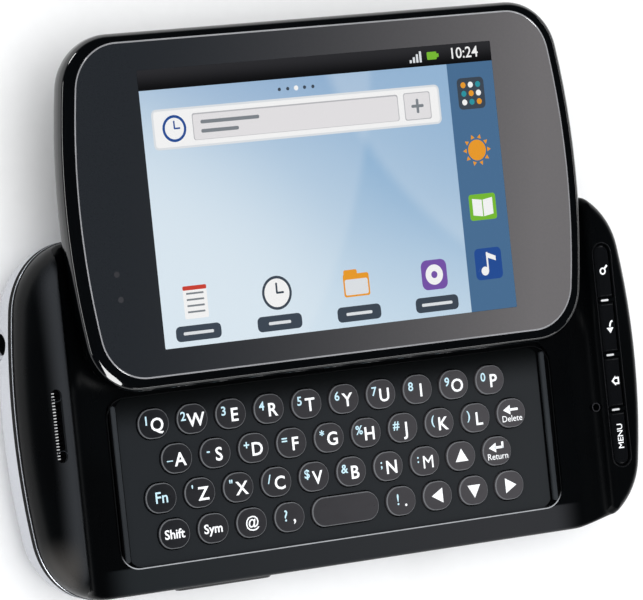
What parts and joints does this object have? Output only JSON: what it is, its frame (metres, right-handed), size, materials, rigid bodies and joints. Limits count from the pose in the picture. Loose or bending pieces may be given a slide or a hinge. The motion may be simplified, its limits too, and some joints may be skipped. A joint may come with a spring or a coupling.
{
  "type": "slider phone",
  "caption": "Landscape slider phone: a touch display half runs on steel rails between two raised wings, over a recessed keyboard of small oval keys.",
  "frame": {"origin": "centre of the base half's flat back face", "axes": "+X along the long axis towards the wing with the four keys, +Y the way the display half slides open, +Z out of the display; the display half is stored open"},
  "size_m": [0.1172, 0.0913, 0.0161],
  "materials": {
    "black_satin_plastic": "satin moulded",
    "silver_grey_plastic": "satin silver-grey paint",
    "battery_wrap": "matte label stock",
    "circuit_board": "solder mask",
    "charcoal_panel": "fine matte",
    "grille_metal": "fine mesh",
    "black_plastic": "matte",
    "camera_glass": "polished",
    "slide_steel": "stamped steel",
    "black_gloss_plastic": "high gloss",
    "window_glass": "hard glossy window, charcoal border behind it",
    "display_panel": "lit display",
    "button_plastic": "satin",
    "keycap_plastic": "semi-gloss moulded",
    "wing_key_plastic": "gloss"
  },
  "bodies": {
    "base": {"front_housing": "black_satin_plastic", "rear_housing": "silver_grey_plastic", "battery_cover": "silver_grey_plastic", "battery": "battery_wrap", "main_board": "circuit_board", "key_board": "circuit_board", "keyboard_panel": "charcoal_panel", "earpiece_grille": "grille_metal", "headset_jack": "black_plastic", "camera_module": "camera_glass", "slide_carriage": "slide_steel"},
    "display_half": {"display_bezel": "black_gloss_plastic", "front_window": "window_glass", "display_module": "display_panel", "slide_plate": "slide_steel"},
    "power": {"power_button": "button_plastic"},
    "volume": {"volume_rocker": "button_plastic"},
    "key_q": {"key_q": "keycap_plastic"},
    "key_w": {"key_w": "keycap_plastic"},
    "key_e": {"key_e": "keycap_plastic"},
    "key_r": {"key_r": "keycap_plastic"},
    "key_t": {"key_t": "keycap_plastic"},
    "key_y": {"key_y": "keycap_plastic"},
    "key_u": {"key_u": "keycap_plastic"},
    "key_i": {"key_i": "keycap_plastic"},
    "key_o": {"key_o": "keycap_plastic"},
    "key_p": {"key_p": "keycap_plastic"},
    "key_a": {"key_a": "keycap_plastic"},
    "key_s": {"key_s": "keycap_plastic"},
    "key_d": {"key_d": "keycap_plastic"},
    "key_f": {"key_f": "keycap_plastic"},
    "key_g": {"key_g": "keycap_plastic"},
    "key_h": {"key_h": "keycap_plastic"},
    "key_j": {"key_j": "keycap_plastic"},
    "key_k": {"key_k": "keycap_plastic"},
    "key_l": {"key_l": "keycap_plastic"},
    "key_delete": {"key_delete": "keycap_plastic"},
    "key_fn": {"key_fn": "keycap_plastic"},
    "key_z": {"key_z": "keycap_plastic"},
    "key_x": {"key_x": "keycap_plastic"},
    "key_c": {"key_c": "keycap_plastic"},
    "key_v": {"key_v": "keycap_plastic"},
    "key_b": {"key_b": "keycap_plastic"},
    "key_n": {"key_n": "keycap_plastic"},
    "key_m": {"key_m": "keycap_plastic"},
    "key_up": {"key_up": "keycap_plastic"},
    "key_return": {"key_return": "keycap_plastic"},
    "key_shift": {"key_shift": "keycap_plastic"},
    "key_symbol": {"key_symbol": "keycap_plastic"},
    "key_at": {"key_at": "keycap_plastic"},
    "key_comma": {"key_comma": "keycap_plastic"},
    "key_space": {"key_space": "keycap_plastic"},
    "key_period": {"key_period": "keycap_plastic"},
    "key_left": {"key_left": "keycap_plastic"},
    "key_down": {"key_down": "keycap_plastic"},
    "key_right": {"key_right": "keycap_plastic"},
    "wing_key_menu": {"wing_key_menu": "wing_key_plastic"},
    "wing_key_home": {"wing_key_home": "wing_key_plastic"},
    "wing_key_back": {"wing_key_back": "wing_key_plastic"},
    "wing_key_search": {"wing_key_search": "wing_key_plastic"}
  },
  "joints": [
    {"name": "display_slide", "type": "slide", "parent": "base", "child": "display_half", "axis": [0, -1, 0], "range_m": [0, 0.0327]},
    {"name": "power_press", "type": "slide", "parent": "base", "child": "power", "axis": [0, -1, 0], "range_m": [0, 0.0003], "stiffness_N_per_m": 400},
    {"name": "volume_rock", "type": "hinge", "parent": "base", "child": "volume", "pos_m": [-0.022, -0.0266, 0.0054], "axis": [0, 0, 1], "range_deg": [-1.2, 1.2], "stiffness_Nm_per_rad": 0.05},
    {"name": "press_q", "type": "slide", "parent": "base", "child": "key_q", "axis": [0, 0, -1], "range_m": [0, 0.0003], "stiffness_N_per_m": 300},
    {"name": "press_w", "type": "slide", "parent": "base", "child": "key_w", "axis": [0, 0, -1], "range_m": [0, 0.0003], "stiffness_N_per_m": 300},
    {"name": "press_e", "type": "slide", "parent": "base", "child": "key_e", "axis": [0, 0, -1], "range_m": [0, 0.0003], "stiffness_N_per_m": 300},
    {"name": "press_r", "type": "slide", "parent": "base", "child": "key_r", "axis": [0, 0, -1], "range_m": [0, 0.0003], "stiffness_N_per_m": 300},
    {"name": "press_t", "type": "slide", "parent": "base", "child": "key_t", "axis": [0, 0, -1], "range_m": [0, 0.0003], "stiffness_N_per_m": 300},
    {"name": "press_y", "type": "slide", "parent": "base", "child": "key_y", "axis": [0, 0, -1], "range_m": [0, 0.0003], "stiffness_N_per_m": 300},
    {"name": "press_u", "type": "slide", "parent": "base", "child": "key_u", "axis": [0, 0, -1], "range_m": [0, 0.0003], "stiffness_N_per_m": 300},
    {"name": "press_i", "type": "slide", "parent": "base", "child": "key_i", "axis": [0, 0, -1], "range_m": [0, 0.0003], "stiffness_N_per_m": 300},
    {"name": "press_o", "type": "slide", "parent": "base", "child": "key_o", "axis": [0, 0, -1], "range_m": [0, 0.0003], "stiffness_N_per_m": 300},
    {"name": "press_p", "type": "slide", "parent": "base", "child": "key_p", "axis": [0, 0, -1], "range_m": [0, 0.0003], "stiffness_N_per_m": 300},
    {"name": "press_a", "type": "slide", "parent": "base", "child": "key_a", "axis": [0, 0, -1], "range_m": [0, 0.0003], "stiffness_N_per_m": 300},
    {"name": "press_s", "type": "slide", "parent": "base", "child": "key_s", "axis": [0, 0, -1], "range_m": [0, 0.0003], "stiffness_N_per_m": 300},
    {"name": "press_d", "type": "slide", "parent": "base", "child": "key_d", "axis": [0, 0, -1], "range_m": [0, 0.0003], "stiffness_N_per_m": 300},
    {"name": "press_f", "type": "slide", "parent": "base", "child": "key_f", "axis": [0, 0, -1], "range_m": [0, 0.0003], "stiffness_N_per_m": 300},
    {"name": "press_g", "type": "slide", "parent": "base", "child": "key_g", "axis": [0, 0, -1], "range_m": [0, 0.0003], "stiffness_N_per_m": 300},
    {"name": "press_h", "type": "slide", "parent": "base", "child": "key_h", "axis": [0, 0, -1], "range_m": [0, 0.0003], "stiffness_N_per_m": 300},
    {"name": "press_j", "type": "slide", "parent": "base", "child": "key_j", "axis": [0, 0, -1], "range_m": [0, 0.0003], "stiffness_N_per_m": 300},
    {"name": "press_k", "type": "slide", "parent": "base", "child": "key_k", "axis": [0, 0, -1], "range_m": [0, 0.0003], "stiffness_N_per_m": 300},
    {"name": "press_l", "type": "slide", "parent": "base", "child": "key_l", "axis": [0, 0, -1], "range_m": [0, 0.0003], "stiffness_N_per_m": 300},
    {"name": "press_delete", "type": "slide", "parent": "base", "child": "key_delete", "axis": [0, 0, -1], "range_m": [0, 0.0003], "stiffness_N_per_m": 300},
    {"name": "press_fn", "type": "slide", "parent": "base", "child": "key_fn", "axis": [0, 0, -1], "range_m": [0, 0.0003], "stiffness_N_per_m": 300},
    {"name": "press_z", "type": "slide", "parent": "base", "child": "key_z", "axis": [0, 0, -1], "range_m": [0, 0.0003], "stiffness_N_per_m": 300},
    {"name": "press_x", "type": "slide", "parent": "base", "child": "key_x", "axis": [0, 0, -1], "range_m": [0, 0.0003], "stiffness_N_per_m": 300},
    {"name": "press_c", "type": "slide", "parent": "base", "child": "key_c", "axis": [0, 0, -1], "range_m": [0, 0.0003], "stiffness_N_per_m": 300},
    {"name": "press_v", "type": "slide", "parent": "base", "child": "key_v", "axis": [0, 0, -1], "range_m": [0, 0.0003], "stiffness_N_per_m": 300},
    {"name": "press_b", "type": "slide", "parent": "base", "child": "key_b", "axis": [0, 0, -1], "range_m": [0, 0.0003], "stiffness_N_per_m": 300},
    {"name": "press_n", "type": "slide", "parent": "base", "child": "key_n", "axis": [0, 0, -1], "range_m": [0, 0.0003], "stiffness_N_per_m": 300},
    {"name": "press_m", "type": "slide", "parent": "base", "child": "key_m", "axis": [0, 0, -1], "range_m": [0, 0.0003], "stiffness_N_per_m": 300},
    {"name": "press_up", "type": "slide", "parent": "base", "child": "key_up", "axis": [0, 0, -1], "range_m": [0, 0.0003], "stiffness_N_per_m": 300},
    {"name": "press_return", "type": "slide", "parent": "base", "child": "key_return", "axis": [0, 0, -1], "range_m": [0, 0.0003], "stiffness_N_per_m": 300},
    {"name": "press_shift", "type": "slide", "parent": "base", "child": "key_shift", "axis": [0, 0, -1], "range_m": [0, 0.0003], "stiffness_N_per_m": 300},
    {"name": "press_symbol", "type": "slide", "parent": "base", "child": "key_symbol", "axis": [0, 0, -1], "range_m": [0, 0.0003], "stiffness_N_per_m": 300},
    {"name": "press_at", "type": "slide", "parent": "base", "child": "key_at", "axis": [0, 0, -1], "range_m": [0, 0.0003], "stiffness_N_per_m": 300},
    {"name": "press_comma", "type": "slide", "parent": "base", "child": "key_comma", "axis": [0, 0, -1], "range_m": [0, 0.0003], "stiffness_N_per_m": 300},
    {"name": "press_space", "type": "slide", "parent": "base", "child": "key_space", "axis": [0, 0, -1], "range_m": [0, 0.0003], "stiffness_N_per_m": 300},
    {"name": "press_period", "type": "slide", "parent": "base", "child": "key_period", "axis": [0, 0, -1], "range_m": [0, 0.0003], "stiffness_N_per_m": 300},
    {"name": "press_left", "type": "slide", "parent": "base", "child": "key_left", "axis": [0, 0, -1], "range_m": [0, 0.0003], "stiffness_N_per_m": 300},
    {"name": "press_down", "type": "slide", "parent": "base", "child": "key_down", "axis": [0, 0, -1], "range_m": [0, 0.0003], "stiffness_N_per_m": 300},
    {"name": "press_right", "type": "slide", "parent": "base", "child": "key_right", "axis": [0, 0, -1], "range_m": [0, 0.0003], "stiffness_N_per_m": 300},
    {"name": "press_wing_key_menu", "type": "slide", "parent": "base", "child": "wing_key_menu", "axis": [0, 0, -1], "range_m": [0, 0.00025], "stiffness_N_per_m": 300},
    {"name": "press_wing_key_home", "type": "slide", "parent": "base", "child": "wing_key_home", "axis": [0, 0, -1], "range_m": [0, 0.00025], "stiffness_N_per_m": 300},
    {"name": "press_wing_key_back", "type": "slide", "parent": "base", "child": "wing_key_back", "axis": [0, 0, -1], "range_m": [0, 0.00025], "stiffness_N_per_m": 300},
    {"name": "press_wing_key_search", "type": "slide", "parent": "base", "child": "wing_key_search", "axis": [0, 0, -1], "range_m": [0, 0.00025], "stiffness_N_per_m": 300}
  ]
}
